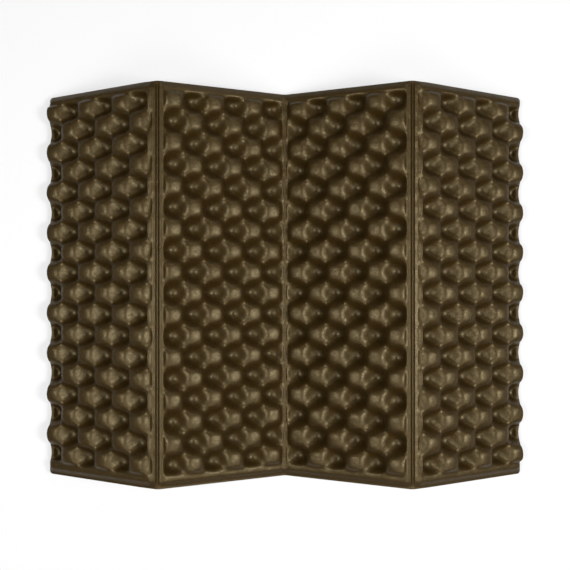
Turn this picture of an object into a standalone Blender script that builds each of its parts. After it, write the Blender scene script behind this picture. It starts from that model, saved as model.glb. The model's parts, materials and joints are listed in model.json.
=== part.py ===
"""Folding foam sit mat, standing half folded in a zigzag.

One moulded sheet of closed-cell foam, pressed into bumps and dimples on both faces. Three thin webs
divide it into four stiff panels: the outer two folds are ridges whose undersides close together, and
the centre fold is a valley whose tops close together. X runs across the folds, Y along them and Z up.
The mat rests at Z = 0 on its centre fold and on its two free edges.
"""

import math

import bmesh
import bpy

# The sheet, in metres.
LENGTH = 0.290              # along the folds
THICKNESS = 0.0065          # foam between its upper and lower face
WAVE = 0.0037               # height of a bump over the mean face, and depth of a dimple under it
PITCH_ACROSS = 0.01525      # from a bump to the dimple beside it, across the folds
PITCH_ALONG = 0.01534       # the same, along the folds
COLUMNS = 6                 # bumps and dimples in turn, across one panel
ROWS = 18                   # bumps and dimples in turn, along the mat
FAR_RIM = 0.0051            # flat rim at the +Y end; what the rows leave is the rim at the -Y end
INNER_WIDTH = 0.0955        # centre fold to ridge fold
OUTER_WIDTH = 0.0949        # ridge fold to the mean line of the scalloped free edge
OUTER_MARGIN = 0.00515      # plain margin beside a ridge, on the outer panels' upper face
EDGE_DROP = 0.0012          # how far each face rolls down at a free edge or an end
EDGE_ROLL = 0.00175         # width of that roll
CORNER_RADIUS = EDGE_ROLL + PITCH_ACROSS / 4    # free corners, seen from above
SCALLOP = 0.0014            # how far the free edge swings out at a bump and in at a dimple

# The folds, in metres and degrees.
WEB_THICKNESS = 0.0012
WEB_HALF_WIDTH = 0.00135
WALL_SETBACK = 0.00165      # from the fold's axis to a panel's wall
NESTING_GAP = 0.0008        # between two closed faces
INNER_TILT = 23.8           # slope of the two inner panels as the mat stands
WEB_ARC_STEPS = 4
STEEPEST_OUTER_TILT = 60.0  # where the search for the outer panels' slope begins
TILT_HALVINGS = 50          # steps of that search

# The fold axis lies half a nesting gap outside the face that closes, this far from the mid-plane.
AXIS_OFFSET = (THICKNESS + NESTING_GAP) / 2
HALF_LENGTH = LENGTH / 2
FIRST_ROW_LINE = HALF_LENGTH - FAR_RIM
SAME_PLACE = 1e-7           # two heights closer than this count as equal
FOAM_COLOUR = (0.075, 0.060, 0.028, 1.0)
WEB_COLOUR = (0.105, 0.088, 0.048, 1.0)


def clear_scene():
    for item in list(bpy.data.objects):
        bpy.data.objects.remove(item, do_unlink=True)


def foam_material(name, colour):
    material = bpy.data.materials.new(name)
    material.use_nodes = True
    shader = material.node_tree.nodes["Principled BSDF"]
    shader.inputs["Base Color"].default_value = colour
    shader.inputs["Roughness"].default_value = 0.55
    shader.inputs["Metallic"].default_value = 0.0
    return material


def cell_sign(distance, pitch, count):
    """+1 inside the first of count cells in a line, -1 inside the next, and 0 on their outer borders."""
    cell = math.floor(distance / pitch)
    if cell < 0 or cell >= count or abs(distance) < SAME_PLACE:
        return 0.0
    return -1.0 if cell % 2 else 1.0


def row_sign(y):
    """+1 in the row nearest +Y, -1 in the next, and 0 on the flat rims."""
    return cell_sign(FIRST_ROW_LINE - y, PITCH_ALONG, ROWS)


def column_sign(u, first_line):
    """+1 in the column nearest first_line, -1 in the next, and 0 on the margins."""
    return cell_sign(u - first_line, PITCH_ACROSS, COLUMNS)


def cell_lines(pitch, count):
    """Mesh lines a quarter cell in from each border, where flat tops and floors end, and the borders."""
    return [0.0] + [(k + 0.5) * pitch / 2 for k in range(2 * count)] + [count * pitch]


def row_stations():
    """The mesh lines across the mat, from the +Y end."""
    ends = [HALF_LENGTH, HALF_LENGTH - EDGE_ROLL]
    rows = [FIRST_ROW_LINE - d for d in cell_lines(PITCH_ALONG, ROWS)]
    near_corner = CORNER_RADIUS - HALF_LENGTH
    return ends + rows + [near_corner] + [-y for y in reversed(ends)]


def column_stations(first_line):
    """The mesh lines along the folds that carry the bumps and dimples."""
    return [first_line + d for d in cell_lines(PITCH_ACROSS, COLUMNS)]


def cut_column_stations():
    """The outer panels' upper mesh lines: the margin, and a last column that the free edge cuts short."""
    columns = column_stations(OUTER_MARGIN)[:-1]
    last_flat = OUTER_WIDTH - PITCH_ACROSS / 4
    return [WALL_SETBACK] + [min(u, last_flat) for u in columns] + [OUTER_WIDTH]


def rounded_corner(u, y):
    """Moves a point of a free corner's square block into the quarter disc that fits in the block."""
    a = (u - (OUTER_WIDTH - CORNER_RADIUS)) / CORNER_RADIUS
    b = (abs(y) - (HALF_LENGTH - CORNER_RADIUS)) / CORNER_RADIUS
    if a <= 0 or b <= 0:
        return u, y
    u -= CORNER_RADIUS * a * (1 - math.sqrt(1 - b * b / 2))
    y -= math.copysign(CORNER_RADIUS * b * (1 - math.sqrt(1 - a * a / 2)), y)
    return u, y


def scalloped(u, y, side):
    """Swings a point of the free edge out where the last column has a bump, in at a dimple."""
    share = max(0.0, 1 - (OUTER_WIDTH - u) / EDGE_ROLL)
    return u - side * SCALLOP * share * row_sign(y)


def face_points(side, face, u_lines, first_line, free_edge):
    """One panel's upper (+1) or lower (-1) face as a grid of (u, y, n) points, n from its mid-plane."""
    points = []
    for u in u_lines:
        points.append([])
        on_free_edge = free_edge and u > OUTER_WIDTH - EDGE_ROLL / 2
        for y in row_stations():
            wave = 0.0 if on_free_edge else side * WAVE * column_sign(u, first_line) * row_sign(y)
            on_edge = on_free_edge or abs(y) > HALF_LENGTH - EDGE_ROLL / 2
            half = THICKNESS / 2 - (EDGE_DROP if on_edge else 0.0)
            place_u, place_y = rounded_corner(u, y) if free_edge else (u, y)
            if free_edge:
                place_u = scalloped(place_u, place_y, side)
            points[-1].append((place_u, place_y, wave + face * half))
    return points


def add_quad(mesh, corners, heights):
    """Two triangles whose shared side joins the higher pair of opposite corners."""
    start = 0 if heights[0] + heights[2] > heights[1] + heights[3] + SAME_PLACE else 1
    a, b, c, d = (corners[(start + k) % 4] for k in range(4))
    mesh.faces.new((a, b, c))
    mesh.faces.new((a, c, d))


def cover_face(mesh, points, grid, lead):
    """Covers one face of the sheet with triangles.

    lead is +1 where the saddles run from bump to bump and -1 where they run from dimple to dimple. Two
    faces that close together have opposite leads, so that they nest facet on facet.
    """
    for i in range(len(grid) - 1):
        for k in range(len(grid[0]) - 1):
            cell = ((i, k), (i + 1, k), (i + 1, k + 1), (i, k + 1))
            corners = [grid[a][b] for a, b in cell]
            add_quad(mesh, corners, [lead * points[a][b][2] for a, b in cell])


def panel_mesh(name, side, upper, lower, axis_height):
    """One closed panel, measured from its fold axis: local X is outward, local Z is the normal."""
    inner = axis_height > 0
    mesh = bmesh.new()

    def grid_of(points):
        return [[mesh.verts.new((side * u, y, n - axis_height)) for u, y, n in row] for row in points]

    top, bottom = grid_of(upper), grid_of(lower)
    cover_face(mesh, upper, top, side)
    cover_face(mesh, lower, bottom, 1 if inner else -1)
    columns, rows = len(top), len(top[0])
    border = [(i, 0) for i in range(columns)] + [(columns - 1, k) for k in range(1, rows)]
    border += [(i, rows - 1) for i in range(columns - 2, -1, -1)]
    border += [(0, k) for k in range(rows - 2, 0, -1)]
    for (i, k), (a, b) in zip(border, border[1:] + border[:1]):
        mesh.faces.new((top[i][k], top[a][b], bottom[a][b], bottom[i][k]))
    bmesh.ops.recalc_face_normals(mesh, faces=mesh.faces)
    data = bpy.data.meshes.new(name)
    mesh.to_mesh(data)
    mesh.free()
    return data


def lowest(points, axis_height, tilt):
    """The lowest point of a panel under its fold axis, when it slopes down outward by tilt."""
    heights = []
    for row in points:
        heights += [(n - axis_height) * math.cos(tilt) - u * math.sin(tilt) for u, y, n in row]
    return min(heights)


def standing_pose(inner_lower, outer_lower, inner_tilt):
    """How the mat stands on its centre fold and its free edges.

    Returns the outer panels' slope, the climb from the centre axis to a ridge axis, and the centre axis's
    height over the ground.
    """
    climb = INNER_WIDTH * math.sin(inner_tilt) - 2 * AXIS_OFFSET * math.cos(inner_tilt)
    floor = lowest(inner_lower, AXIS_OFFSET, -inner_tilt)
    flat, steep = 0.0, math.radians(STEEPEST_OUTER_TILT)
    for _ in range(TILT_HALVINGS):
        middle = (flat + steep) / 2
        if climb + lowest(outer_lower, -AXIS_OFFSET, middle) > floor:
            flat = middle
        else:
            steep = middle
    return middle, climb, -floor


def web_section(left_tilt, right_tilt, above):
    """A thin strip bent over a ridge axis: matching rows of (x, z), the row nearest the axis first.

    left_tilt and right_tilt are the slopes down from the axis; above is -1 for a valley's strip.
    """
    near, far = NESTING_GAP / 2, NESTING_GAP / 2 + WEB_THICKNESS
    angles = [-left_tilt + k * (left_tilt + right_tilt) / WEB_ARC_STEPS for k in range(WEB_ARC_STEPS + 1)]
    rows = []
    left_x, left_z = WEB_HALF_WIDTH * math.cos(left_tilt), WEB_HALF_WIDTH * math.sin(left_tilt)
    right_x, right_z = WEB_HALF_WIDTH * math.cos(right_tilt), WEB_HALF_WIDTH * math.sin(right_tilt)
    for radius in (near, far):
        arc = [(radius * math.sin(a), radius * math.cos(a)) for a in angles]
        left = (arc[0][0] - left_x, arc[0][1] - left_z)
        right = (arc[-1][0] + right_x, arc[-1][1] - right_z)
        rows.append([(x, above * z) for x, z in [left] + arc + [right]])
    return rows


def web_mesh(name, section):
    """The strip's section, extruded along the whole fold."""
    mesh = bmesh.new()
    near, far = ([mesh.verts.new((x, -HALF_LENGTH, z)) for x, z in row] for row in section)
    for k in range(len(near) - 1):
        mesh.faces.new((near[k], near[k + 1], far[k + 1], far[k]))
    grown = bmesh.ops.extrude_face_region(mesh, geom=list(mesh.faces))
    moved = [item for item in grown["geom"] if isinstance(item, bmesh.types.BMVert)]
    bmesh.ops.translate(mesh, verts=moved, vec=(0, LENGTH, 0))
    bmesh.ops.recalc_face_normals(mesh, faces=mesh.faces)
    data = bpy.data.meshes.new(name)
    mesh.to_mesh(data)
    mesh.free()
    return data


def place(name, data, location, turn, material):
    """Puts a mesh in the scene with its origin on its fold axis, turned about Y."""
    item = bpy.data.objects.new(name, data)
    item.location = location
    item.rotation_euler = (0, turn, 0)
    item.data.materials.append(material)
    bpy.context.scene.collection.objects.link(item)
    return item


def build():
    clear_scene()
    inner_tilt = math.radians(INNER_TILT)
    centre_margin = INNER_WIDTH - WALL_SETBACK - COLUMNS * PITCH_ACROSS
    inner_lines = [WALL_SETBACK] + column_stations(centre_margin)
    outer_lines = column_stations(WALL_SETBACK) + [OUTER_WIDTH]
    shapes = {}
    for side in (-1, 1):
        inner_upper = face_points(side, 1, inner_lines, centre_margin, free_edge=False)
        inner_lower = face_points(side, -1, inner_lines, centre_margin, free_edge=False)
        outer_upper = face_points(side, 1, cut_column_stations(), OUTER_MARGIN, free_edge=True)
        outer_lower = face_points(side, -1, outer_lines, WALL_SETBACK, free_edge=True)
        shapes[side] = (inner_upper, inner_lower), (outer_upper, outer_lower)
    tilt, climb, centre_height = standing_pose(inner_lower, outer_lower, inner_tilt)
    reach = INNER_WIDTH * math.cos(inner_tilt) + 2 * AXIS_OFFSET * math.sin(inner_tilt)
    ridge_height = centre_height + climb
    for side, word in ((-1, "left"), (1, "right")):
        inner, outer = shapes[side]
        name = "panel_inner_" + word
        data = panel_mesh(name, side, *inner, AXIS_OFFSET)
        place(name, data, (0, 0, centre_height), -side * inner_tilt, foam_material(name, FOAM_COLOUR))
        name = "panel_outer_" + word
        data = panel_mesh(name, side, *outer, -AXIS_OFFSET)
        ridge = (side * reach, 0, ridge_height)
        place(name, data, ridge, side * tilt, foam_material(name, FOAM_COLOUR))
        name = "fold_web_" + word
        slopes = (inner_tilt, tilt) if side > 0 else (tilt, inner_tilt)
        data = web_mesh(name, web_section(*slopes, above=1))
        place(name, data, ridge, 0, foam_material(name, WEB_COLOUR))
    name = "fold_web_centre"
    data = web_mesh(name, web_section(inner_tilt, inner_tilt, above=-1))
    place(name, data, (0, 0, centre_height), 0, foam_material(name, WEB_COLOUR))


build()
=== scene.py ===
"""Looks of the folding foam sit mat: one sheet of moulded closed-cell foam, standing half folded.

The sheet is four stiff panels and three pressed folds. A panel's own coordinates are u, outward from
its fold nearest the middle, y along the folds, and n, up from the sheet's mid-plane.
"""

import json
import math

import bpy
import numpy as np
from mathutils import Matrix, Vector


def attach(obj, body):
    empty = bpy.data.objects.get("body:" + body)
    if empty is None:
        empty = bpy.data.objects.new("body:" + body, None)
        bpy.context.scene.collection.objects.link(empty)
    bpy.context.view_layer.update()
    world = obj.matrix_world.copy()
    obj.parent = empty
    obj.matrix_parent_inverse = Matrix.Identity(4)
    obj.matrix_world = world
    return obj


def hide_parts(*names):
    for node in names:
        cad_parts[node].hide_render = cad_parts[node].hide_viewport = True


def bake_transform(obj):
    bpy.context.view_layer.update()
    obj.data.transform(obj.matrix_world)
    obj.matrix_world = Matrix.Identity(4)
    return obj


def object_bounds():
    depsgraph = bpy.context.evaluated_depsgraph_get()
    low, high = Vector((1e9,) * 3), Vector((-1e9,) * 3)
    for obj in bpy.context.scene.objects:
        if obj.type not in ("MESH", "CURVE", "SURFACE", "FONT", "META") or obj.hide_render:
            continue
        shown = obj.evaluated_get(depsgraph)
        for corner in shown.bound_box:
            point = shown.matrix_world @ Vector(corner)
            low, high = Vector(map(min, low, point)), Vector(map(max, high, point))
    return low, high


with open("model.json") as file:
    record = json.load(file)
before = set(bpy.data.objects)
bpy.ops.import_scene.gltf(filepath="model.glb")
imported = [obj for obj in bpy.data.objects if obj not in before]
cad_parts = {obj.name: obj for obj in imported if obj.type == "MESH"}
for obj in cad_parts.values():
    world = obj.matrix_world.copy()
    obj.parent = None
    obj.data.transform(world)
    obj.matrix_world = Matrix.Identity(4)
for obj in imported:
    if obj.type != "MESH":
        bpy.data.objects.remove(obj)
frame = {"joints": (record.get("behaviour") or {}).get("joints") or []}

cad_low, cad_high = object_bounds()

# The sheet, in metres, as the CAD has it.
THICKNESS = 0.0065          # foam between its upper and lower face
WAVE = 0.0037               # lower face: height of a bump, and depth of a dimple
PITCH_ACROSS = 0.01525      # from a bump to the dimple beside it, across the folds
PITCH_ALONG = 0.01534       # the same, along the folds
COLUMNS = 6                 # bumps and dimples in turn, across one panel
ROWS = 18                   # bumps and dimples in turn, along the mat
FAR_RIM = 0.0051            # flat rim at the +Y end
OUTER_WIDTH = 0.0949        # ridge fold to the mean line of the scalloped free edge
OUTER_MARGIN = 0.00515      # plain margin beside a ridge, on the outer panels' upper face
WALL_SETBACK = 0.00165      # from a ridge to the inner panels' columns, and the outer ones' lower columns
NESTING_GAP = 0.0008        # between two closed faces
SCALLOP = 0.0014            # how far the free edge swings out at a bump and in at a dimple

# The outer panels' outline, finer than the CAD's.
CORNER_RADIUS = 0.0026
SCALLOP_REACH = 0.62 * PITCH_ACROSS     # from the free edge inward, where the swing has faded away
DRAW_BACK = 0.020           # share by which the ends draw in towards the free edge
DRAW_FRONT = 0.011
DRAW_START = 0.012          # u where the drawing in starts
DRAW_RIM = 0.0065           # the lower face keeps its rows, and only its rim is drawn in
DRAW_RIM_BLEND = DRAW_RIM / 1.4         # over which the rim starts to follow

# The pinched edge: a thin rounded lip, then a slope up to the full thickness. The back end rolls off
# softly, without a lip of its own.
LIP_HALF = 0.0006           # half its thickness
LIP_ROUND = 0.0006          # rounding of its tip
LIP_WIDTH = 0.0009
SIDE_SLOPE = 0.0026         # width of the slope at a free edge
FRONT_SLOPE = 0.0058        # and at the front end
BACK_ROLL = 0.0056
BACK_ROLL_POWER = 0.7       # under 1 makes the roll rise sooner
CLOSING_WIDTH = 0.0012      # over which both faces meet at the very edge

# The moulded surface.
RIM_FADE = 0.0024           # width over which bumps and dimples fade into a flat rim
END_FADE = 0.0036           # the same at the back and front ends
BACK_INSET = 0.0028         # how far inside the first row's line that fade lies
FRONT_INSET = 0.0016
CENTRE_START = 0.0004       # the inner panels' first bumps and dimples start close to the centre fold
STEEPNESS = 1.15            # of the upper face: 0 is a pure sine, more has steeper sides
LOWER_STEEPNESS = 0.8
SWING = 0.0054              # upper face: half the height from a dimple's floor to a bump's top
SINKING = 0.38              # share of the swing by which its bumps are lower and its dimples deeper
SADDLE = 0.0001             # height of its saddles over the face's own level
MARGIN_FALL = 0.0012        # how far the outer panels' margin sinks beside a ridge
MARGIN_FALL_WIDTH = 0.0042
SHOULDER_FALL = 0.0009      # the same on the inner panels
SHOULDER_WIDTH = 0.0032
MARGIN_START = 0.0012       # the outer panels' first bumps and dimples fade out across the margin
MARGIN_FADE = 0.0042
SWELL_HEIGHT = 0.00008      # typical height of the skin's slow, random swell
SWELL_WAVES = 14            # sine waves it is made of
SWELL_SUM = 3               # typical sum of that many waves of height 1
SHORTEST_SWELL = 0.006      # range of their lengths
LONGEST_SWELL = 0.022
SWELL_SEED = 7

# The folds.
FOLD_REACH = 0.0055         # half the width of a fold piece, across the fold
FOLD_ROUNDING = 0.0022      # how softly the two faces meet at a fold
GROOVE_HALF = 0.0012        # half the pressed groove's width
GROOVE_LIP = 0.0005         # rounding of the groove's lips
GROOVE_DEPTH = 0.0013
BEAD_SLOPE = 0.0006         # width of each side of the fine bead on the groove's floor
BEAD_TOP = 0.3 * BEAD_SLOPE # half the width of its flat top
BEAD_HEIGHT = 0.0010

# Mesh spacing.
GRID = 0.0011
FINE = 0.00035              # between the first lines beside a fold piece
SEAM_LINES = 4              # number of those lines
SEAM_LEAN = 5 * GRID        # over which the lines turn to follow the seam's upright cut
GROOVE_LINES = 22           # on each side of a fold, in the groove
SHOULDER_LINES = 8          # and outside it
LEVELLING_STEPS = 12        # that bring a face's point straight over its mid-plane point
# Lines of a pinched edge, as shares of the lip's rounding and of the slope.
TIP_LINES = (0, 0.06, 0.2, 0.45, 0.75, 1)
SLOPE_LINES = (0.03, 0.09, 0.16, 0.24, 0.32, 0.4, 0.48, 0.57, 0.67, 0.78, 0.9, 1.05)

# The foam's skin: colours, gloss and grain.
DARK_FOAM = (0.004, 0.0018, 0.0, 1)
LIGHT_FOAM = (0.027, 0.0127, 0.0003, 1)
GLOSS_TINT = (1.0, 0.825, 0.48, 1)
DARK_ROUGHNESS = 0.55
LIGHT_ROUGHNESS = 0.39
MOTTLE_LOW = 0.32           # noise values that are fully dark and fully light
MOTTLE_HIGH = 0.68
WRINKLE_DEPTH = 0.0003
WRINKLE_STRENGTH = 0.6

# The studio.
FLOOR_HALF = 20.0
FLOOR_GREY = (0.25, 0.25, 0.25, 1)
FLOOR_GLOW = 0.52
WORLD_LIGHT = 0.02
WHITE = (1, 1, 1, 1)
LIGHT_TARGET = (0, 0, 0.02)
# Name, place, size and power of each softbox.
SOFTBOXES = (
    ("right_softbox", (0.60, -0.08, 0.80), (0.26, 0.26), 10.8),
    ("left_softbox", (-0.49, -0.03, 0.87), (0.26, 0.26), 7.7),
    ("front_softbox", (0.05, -0.61, 0.79), (0.9, 0.5), 4.6),
    ("back_softbox", (0.2, 0.79, 0.57), (0.5, 0.5), 2.2),
)
CAMERA_HEIGHT = 0.57
CAMERA_LENS = 46.95
CAMERA_SENSOR = 36

joints = {j["name"]: j for j in frame["joints"]}
centre_axis = Vector(joints["centre_fold"]["pos_m"])
ridge_axis = Vector(joints["right_fold"]["pos_m"])
inner_tilt = math.radians(-joints["centre_fold"]["range_deg"][0] / 2)
outer_tilt = math.radians(-joints["right_fold"]["range_deg"][0]) - inner_tilt
across = ridge_axis - centre_axis
inner_width = across.x * math.cos(inner_tilt) + across.z * math.sin(inner_tilt)
axis_offset = (THICKNESS + NESTING_GAP) / 2
half_length = cad_high.y
first_row_line = half_length - FAR_RIM
last_row_line = first_row_line - ROWS * PITCH_ALONG


def smooth(t):
    t = np.clip(t, 0, 1)
    return t * t * (3 - 2 * t)


def fade_in(distance, width):
    """0 to 1 over a width that is centred where distance is 0."""
    return smooth(distance / width + 0.5)


def soft_min(a, b, width):
    """The lower of two heights, rounded where they differ by less than width."""
    blend = np.clip(0.5 + 0.5 * (b - a) / width, 0, 1)
    return b + (a - b) * blend - width * blend * (1 - blend)


def unevenness(u, y):
    """Slow random swell of the moulded skin, the same on every run."""
    rng = np.random.default_rng(SWELL_SEED)
    total = np.zeros(np.broadcast(u, y).shape)
    for _ in range(SWELL_WAVES):
        length = rng.uniform(SHORTEST_SWELL, LONGEST_SWELL)
        turn = rng.uniform(0, math.pi)
        phase = rng.uniform(0, 2 * math.pi)
        total = total + np.sin(2 * math.pi * (u * math.cos(turn) + y * math.sin(turn)) / length + phase)
    return SWELL_HEIGHT * total / SWELL_SUM


def bulge(cell, steepness):
    """Steepens the sides of a wave that runs from -1 to 1."""
    return np.tanh(steepness * cell) / math.tanh(steepness)


def upper_wave(cell):
    shape = bulge(cell, STEEPNESS)
    return SWING * (shape - SINKING * shape ** 2) + SADDLE


def lower_wave(cell):
    return WAVE * bulge(cell, LOWER_STEEPNESS)


class Panel:
    """One panel's shape: side is +1 on the right and -1 on the left."""

    def __init__(self, side, outer):
        self.side, self.outer = side, outer
        self.lower_line = WALL_SETBACK if outer else inner_width - WALL_SETBACK - COLUMNS * PITCH_ACROSS
        self.upper_line = OUTER_MARGIN if outer else self.lower_line
        self.tilt = -outer_tilt if outer else inner_tilt
        self.axis = ridge_axis if outer else centre_axis
        self.offset = axis_offset if outer else -axis_offset

    def wave(self, u, y, face):
        """Height of the moulded wave over the face's own level."""
        first_line = self.upper_line if face > 0 else self.lower_line
        across = (u - first_line) / PITCH_ACROSS
        along = (first_row_line - y) / PITCH_ALONG
        cell = self.side * np.sin(math.pi * across) * np.sin(math.pi * along)
        if face > 0:
            height = upper_wave(cell) * self.upper_fade(u, y) - self.upper_fall(u)
        else:
            height = lower_wave(cell) * self.lower_fade(u, y)
        sheet_u = self.side * (u + (inner_width if self.outer else 0))
        return height + unevenness(sheet_u, y)

    def upper_fade(self, u, y):
        """1 among the upper face's bumps and dimples, 0 on its margins and rims."""
        back = fade_in(first_row_line - BACK_INSET - y, END_FADE)
        front = fade_in(y - last_row_line - FRONT_INSET, END_FADE)
        if self.outer:
            return smooth((u - MARGIN_START) / MARGIN_FADE) * back * front
        far = fade_in(self.upper_line + COLUMNS * PITCH_ACROSS - u, RIM_FADE)
        return far * smooth((u - CENTRE_START) / RIM_FADE) * back * front

    def lower_fade(self, u, y):
        """The same on the lower face."""
        last_line = self.lower_line + COLUMNS * PITCH_ACROSS
        side = fade_in(np.minimum(u - self.lower_line, last_line - u), RIM_FADE)
        back = fade_in(first_row_line - y, RIM_FADE)
        front = fade_in(y - last_row_line, RIM_FADE)
        return side * back * front

    def upper_fall(self, u):
        """How far the upper face sinks beside a ridge."""
        if self.outer:
            return MARGIN_FALL * (1 - smooth(u / MARGIN_FALL_WIDTH))
        return SHOULDER_FALL * (1 - smooth((inner_width - u) / SHOULDER_WIDTH))

    def edge_distance(self, u, y):
        """Distance to the panel's free outline, whose free corners are round."""
        from_end = half_length - np.abs(y)
        if not self.outer:
            return from_end + 0 * u
        from_side = OUTER_WIDTH - u
        in_corner = (from_end < CORNER_RADIUS) & (from_side < CORNER_RADIUS)
        round_corner = CORNER_RADIUS - np.hypot(CORNER_RADIUS - from_end, CORNER_RADIUS - from_side)
        return np.maximum(np.where(in_corner, round_corner, np.minimum(from_end, from_side)), 0)

    def face(self, u, y, face):
        """n of the upper (+1) or lower (-1) face."""
        edge = self.edge_distance(u, y)
        full = face * (THICKNESS / 2 - LIP_HALF) + self.wave(u, y, face)
        rise = end_rise(y) * smooth(edge / CLOSING_WIDTH)
        if self.outer:
            rise = rise * side_rise(u)
        return face * lip(edge) + full * rise

    def solve(self, u_middle, y, face, sheared, surface=None):
        """The face's point straight above or below the mid-plane point u_middle: (u, n)."""
        surface = surface or self.face
        u = u_middle + 0 * y
        for _ in range(LEVELLING_STEPS):
            n = surface(u, y, face)
            u = u_middle + sheared * math.tan(self.tilt) * n
        return u, n

    def world(self, u, n):
        x = self.axis.x + u * math.cos(self.tilt) - (n + self.offset) * math.sin(self.tilt)
        z = self.axis.z + u * math.sin(self.tilt) + (n + self.offset) * math.cos(self.tilt)
        return self.side * x, z

    def seam(self, x):
        """u of the mid-plane's point at a distance x from the middle of the mat."""
        return (x - self.axis.x + self.offset * math.sin(self.tilt)) / math.cos(self.tilt)


def lip(edge):
    """Half thickness of the pinched lip, round at its tip."""
    t = np.clip(edge / LIP_ROUND, 0, 1)
    return LIP_HALF * np.sqrt(1 - (1 - t) ** 2)


def end_rise(y):
    """Share of the full thickness near the two ends: 0 at the lip, 1 where the slope ends."""
    from_end = half_length - np.abs(y)
    front = smooth((from_end - LIP_WIDTH) / FRONT_SLOPE)
    back = smooth(from_end / BACK_ROLL) ** BACK_ROLL_POWER
    return np.where(y > 0, back, front)


def side_rise(u):
    """The same near the free edge."""
    return smooth((OUTER_WIDTH - u - LIP_WIDTH) / SIDE_SLOPE)


def spaced(start, stop):
    """Even stations from start to stop, both included."""
    count = max(2, round((stop - start) / GRID) + 1)
    return list(np.linspace(start, stop, count))


def edge_stations():
    """Distances from a pinched edge, close together where it curves."""
    tip = [LIP_ROUND * t for t in TIP_LINES]
    return tip + [LIP_WIDTH + FRONT_SLOPE * t for t in SLOPE_LINES]


def row_stations():
    edge = edge_stations()
    middle = spaced(edge[-1] - half_length, half_length - edge[-1])
    front = [d - half_length for d in edge[:-1]]
    back = [half_length - d for d in reversed(edge[:-1])]
    return np.array(front + middle + back)


def column_stations(panel):
    """u on the mid-plane, from the inner seam to the outer seam or the free edge."""
    start_x = ridge_axis.x + FOLD_REACH if panel.outer else FOLD_REACH
    start = panel.seam(start_x)
    near = [start + FINE * k for k in range(SEAM_LINES)]
    if panel.outer:
        edge = edge_stations()
        middle = spaced(near[-1] + FINE, OUTER_WIDTH - edge[-1])
        return np.array(near + middle + [OUTER_WIDTH - d for d in reversed(edge[:-1])])
    stop = panel.seam(ridge_axis.x - FOLD_REACH)
    far = [stop - FINE * k for k in reversed(range(SEAM_LINES))]
    return np.array(near + spaced(near[-1] + FINE, far[0] - FINE) + far)


def rounded_corners(u, y):
    """Moves the points of each free corner's square block into the quarter disc inside it."""
    a = np.clip((u - (OUTER_WIDTH - CORNER_RADIUS)) / CORNER_RADIUS, 0, None)
    b = np.clip((np.abs(y) - (half_length - CORNER_RADIUS)) / CORNER_RADIUS, 0, None)
    new_u = u - CORNER_RADIUS * a * (1 - np.sqrt(1 - b * b / 2))
    new_y = y - np.sign(y) * CORNER_RADIUS * b * (1 - np.sqrt(1 - a * a / 2))
    return new_u, new_y


def scallop(panel, u, y):
    """How far the free edge swings outward, which fades away over the last column."""
    share = smooth((u - OUTER_WIDTH + SCALLOP_REACH) / SCALLOP_REACH)
    inside = smooth(np.minimum(first_row_line - y, y - last_row_line) / RIM_FADE)
    return -panel.side * SCALLOP * share * inside * np.sin(math.pi * (first_row_line - y) / PITCH_ALONG)


def drawn_in(panel, u, y, face):
    """y once the outer panels have narrowed towards their free edges."""
    if not panel.outer:
        return y
    share = np.clip((u - DRAW_START) / (OUTER_WIDTH - DRAW_START), 0, 1)
    if face < 0:
        share = share * smooth((np.abs(y) - half_length + DRAW_RIM) / DRAW_RIM_BLEND)
    return y * (1 - np.where(y > 0, DRAW_BACK, DRAW_FRONT) * share)


def seam_share(panel, u):
    """1 at a fold seam, 0 away from it: how much a station leans to follow the seam's upright cut."""
    share = 1 - smooth((u - u.min()) / SEAM_LEAN)
    if not panel.outer:
        share = share + 1 - smooth((u.max() - u) / SEAM_LEAN)
    return share


def panel_points(panel):
    """The upper and the lower face as grids of world points."""
    u, y = np.meshgrid(column_stations(panel), row_stations(), indexing="ij")
    sheared = seam_share(panel, u)
    if panel.outer:
        u, y = rounded_corners(u, y)
    faces = []
    for face in (1, -1):
        at, n = panel.solve(u, y, face, sheared)
        if panel.outer:
            at = at + scallop(panel, at, y)
        x, z = panel.world(at, n)
        faces.append(np.stack([x, drawn_in(panel, at, y, face), z], axis=-1))
    return faces


def fold_stations():
    """Distances across a fold: close together in the groove, and even outside it."""
    groove = GROOVE_HALF + GROOVE_LIP
    inside = list(np.linspace(0, groove, GROOVE_LINES))
    outside = list(np.linspace(groove, FOLD_REACH, SHOULDER_LINES))[1:]
    half = inside + outside
    return np.array([-x for x in reversed(half[1:])] + half)


def groove_depth(x):
    """Depth of the pressed groove, with the fine bead that runs along its floor."""
    x = np.abs(x)
    wall = 1 - smooth((x - (GROOVE_HALF - GROOVE_LIP)) / (2 * GROOVE_LIP))
    bead = 1 - smooth((x - BEAD_TOP) / BEAD_SLOPE)
    return GROOVE_DEPTH * wall - BEAD_HEIGHT * bead


def fold_points(left, right, middle_x, grooved_face):
    """The upper and lower face of a fold piece between two panels, as grids of world points."""
    x, y = np.meshgrid(middle_x + fold_stations(), row_stations(), indexing="ij")
    up = grooved_face

    def plain(panel):
        return lambda u, y, face: face * THICKNESS / 2 + panel.wave(u, y, face)

    def heights(panel, face):
        """World height of the panel's face over x, or of its mid-plane for face 0."""
        u_middle = panel.seam(panel.side * x)
        if face == 0:
            return panel.world(u_middle, 0)[1]
        u, n = panel.solve(u_middle, y, face, 1.0, plain(panel))
        return panel.world(u, n)[1]

    def joined(face):
        a, b = up * heights(left, face), up * heights(right, face)
        return up * soft_min(a, b, FOLD_ROUNDING)

    middle = joined(0)
    edge = half_length - np.abs(y)
    slant = np.where(x < middle_x, math.cos(left.tilt), math.cos(right.tilt))
    faces = []
    for face in (1, -1):
        full = joined(face)
        if face == grooved_face:
            full = full - up * groove_depth(x - middle_x)
        rise = end_rise(y) * smooth(edge / CLOSING_WIDTH)
        z = middle + face * lip(edge) / slant + (full - middle - face * LIP_HALF / slant) * rise
        faces.append(np.stack([x, y, z], axis=-1))
    return faces


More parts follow.
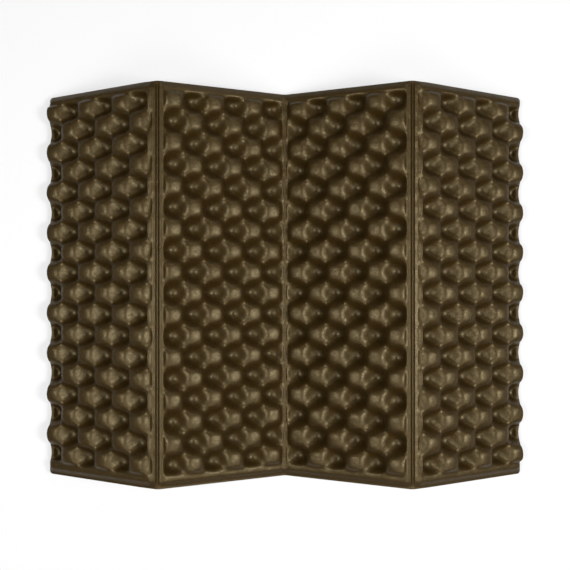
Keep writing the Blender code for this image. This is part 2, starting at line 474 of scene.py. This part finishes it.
def closed_sheet(name, upper, lower, free_far_side):
    """A closed mesh from two grids that share their pinched borders; seams are closed by a wall."""
    rows, columns = upper.shape[:2]
    pinched = np.zeros((rows, columns), bool)
    pinched[:, 0] = pinched[:, -1] = True
    if free_far_side:
        pinched[-1, :] = True
    top = np.arange(rows * columns).reshape(rows, columns)
    bottom = np.where(pinched, top, 0)
    bottom[~pinched] = rows * columns + np.arange((~pinched).sum())
    points = np.concatenate([upper.reshape(-1, 3), lower[~pinched]])

    def quads(grid):
        corners = (grid[:-1, :-1], grid[1:, :-1], grid[1:, 1:], grid[:-1, 1:])
        return np.stack(corners, axis=-1).reshape(-1, 4)

    faces = [list(q) for q in quads(top)] + [list(reversed(q)) for q in quads(bottom)]
    first_wall = len(faces)
    for row, flip in ((0, False), (rows - 1, True)):
        if flip and free_far_side:
            continue
        for k in range(columns - 1):
            wall = [top[row, k], top[row, k + 1], bottom[row, k + 1], bottom[row, k]]
            wall = [v for i, v in enumerate(wall) if v not in wall[:i]]
            faces.append(wall[::-1] if flip else wall)
    mesh = bpy.data.meshes.new(name)
    mesh.from_pydata(points.tolist(), [], [[int(v) for v in f] for f in faces])
    mesh.update()
    mesh.shade_smooth()
    wall_edges = {tuple(sorted(key)) for p in mesh.polygons if p.index >= first_wall for key in p.edge_keys}
    for edge in mesh.edges:
        edge.use_edge_sharp = tuple(sorted(edge.vertices)) in wall_edges
    item = bpy.data.objects.new(name, mesh)
    bpy.context.scene.collection.objects.link(item)
    return item


def face_outward(item):
    """Turns every face round if the closed mesh is inside out."""
    mesh = item.data
    mesh.calc_loop_triangles()
    co = np.array([v.co for v in mesh.vertices])
    tri = np.array([t.vertices for t in mesh.loop_triangles])
    a, b, c = co[tri[:, 0]], co[tri[:, 1]], co[tri[:, 2]]
    six_volumes = np.einsum("ij,ij->i", a, np.cross(b, c)).sum()
    if six_volumes < 0:
        mesh.flip_normals()


# ---------------------------------------------------------------- materials


def add_node(tree, kind, **values):
    node = tree.nodes.new(kind)
    for key, value in values.items():
        if key in node.inputs:
            node.inputs[key].default_value = value
        else:
            setattr(node, key, value)
    return node


def foam_material():
    material = bpy.data.materials.new("foam_skin")
    material.use_nodes = True
    tree = material.node_tree
    shader = tree.nodes["Principled BSDF"]
    shader.inputs["Specular IOR Level"].default_value = 0.5
    shader.inputs["Specular Tint"].default_value = GLOSS_TINT
    place = add_node(tree, "ShaderNodeTexCoord").outputs["Object"]

    def noise(scale, detail, rough):
        node = add_node(tree, "ShaderNodeTexNoise", Scale=scale, Detail=detail, Roughness=rough)
        tree.links.new(place, node.inputs["Vector"])
        return node.outputs["Fac"]

    def ramp(source, dark, light):
        node = tree.nodes.new("ShaderNodeMapRange")
        node.inputs["From Min"].default_value = MOTTLE_LOW
        node.inputs["From Max"].default_value = MOTTLE_HIGH
        node.inputs["To Min"].default_value = dark
        node.inputs["To Max"].default_value = light
        tree.links.new(source, node.inputs["Value"])
        return node.outputs["Result"]

    mottle = noise(scale=1000, detail=2, rough=0.65)
    wrinkle = noise(scale=520, detail=2, rough=0.55)
    mix = tree.nodes.new("ShaderNodeMix")
    mix.data_type = "RGBA"
    mix.inputs["A"].default_value = DARK_FOAM
    mix.inputs["B"].default_value = LIGHT_FOAM
    tree.links.new(ramp(mottle, 0.0, 1.0), mix.inputs["Factor"])
    tree.links.new(mix.outputs["Result"], shader.inputs["Base Color"])
    tree.links.new(ramp(mottle, DARK_ROUGHNESS, LIGHT_ROUGHNESS), shader.inputs["Roughness"])
    bump = add_node(tree, "ShaderNodeBump", Strength=WRINKLE_STRENGTH, Distance=WRINKLE_DEPTH)
    tree.links.new(wrinkle, bump.inputs["Height"])
    tree.links.new(bump.outputs["Normal"], shader.inputs["Normal"])
    return material


def floor_material():
    material = bpy.data.materials.new("pale_floor")
    material.use_nodes = True
    shader = material.node_tree.nodes["Principled BSDF"]
    shader.inputs["Base Color"].default_value = FLOOR_GREY
    shader.inputs["Roughness"].default_value = 0.9
    shader.inputs["Emission Color"].default_value = WHITE
    shader.inputs["Emission Strength"].default_value = FLOOR_GLOW
    return material


# ---------------------------------------------------------------- the mat


def build_mat():
    foam = foam_material()
    panels = {(side, outer): Panel(side, outer) for side in (-1, 1) for outer in (False, True)}
    words = {-1: "left", 1: "right"}
    for (side, outer), panel in panels.items():
        name = ("outer_" if outer else "inner_") + words[side]
        item = closed_sheet("foam_" + name, *panel_points(panel), free_far_side=outer)
        finish_piece(item, foam)
        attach(item, name)
        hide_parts("panel_" + name)
    folds = {
        "left": (panels[-1, True], panels[-1, False], -ridge_axis.x, 1, "outer_left", "inner_left"),
        "centre": (panels[-1, False], panels[1, False], centre_axis.x, -1, "inner_left", "inner_right"),
        "right": (panels[1, False], panels[1, True], ridge_axis.x, 1, "inner_right", "outer_right"),
    }
    for word, (left, right, x, grooved, body_a, body_b) in folds.items():
        upper, lower = fold_points(left, right, x, grooved)
        item = closed_sheet("pressed_fold_" + word, upper, lower, free_far_side=False)
        finish_piece(item, foam)
        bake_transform(item)
        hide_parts("fold_web_" + word)


def finish_piece(item, material):
    face_outward(item)
    item.data.materials.append(material)


# ---------------------------------------------------------------- studio


def area_light(name, place, size, power):
    data = bpy.data.lights.new(name, "AREA")
    data.shape = "RECTANGLE"
    data.size, data.size_y = size
    data.energy = power
    lamp = bpy.data.objects.new(name, data)
    lamp.location = place
    lamp.rotation_euler = (Vector(LIGHT_TARGET) - Vector(place)).to_track_quat("-Z", "Y").to_euler()
    bpy.context.scene.collection.objects.link(lamp)


def studio():
    mesh = bpy.data.meshes.new("floor")
    corners = [(FLOOR_HALF * x, FLOOR_HALF * y, 0) for x, y in ((-1, -1), (1, -1), (1, 1), (-1, 1))]
    mesh.from_pydata(corners, [], [(0, 1, 2, 3)])
    floor = bpy.data.objects.new("floor", mesh)
    floor.data.materials.append(floor_material())
    bpy.context.scene.collection.objects.link(floor)
    for name, place, size, power in SOFTBOXES:
        area_light(name, place, size, power)
    world = bpy.data.worlds.new("studio")
    world.use_nodes = True
    background = world.node_tree.nodes["Background"]
    background.inputs["Color"].default_value = WHITE
    background.inputs["Strength"].default_value = WORLD_LIGHT
    bpy.context.scene.world = world
    bpy.context.scene.view_settings.view_transform = "Standard"


def camera():
    data = bpy.data.cameras.new("camera")
    data.sensor_width = CAMERA_SENSOR
    data.lens = CAMERA_LENS
    data.clip_start = 0.01
    view = bpy.data.objects.new("camera", data)
    view.location = (0, 0, CAMERA_HEIGHT)
    bpy.context.scene.collection.objects.link(view)
    bpy.context.scene.camera = view


build_mat()
studio()
camera()
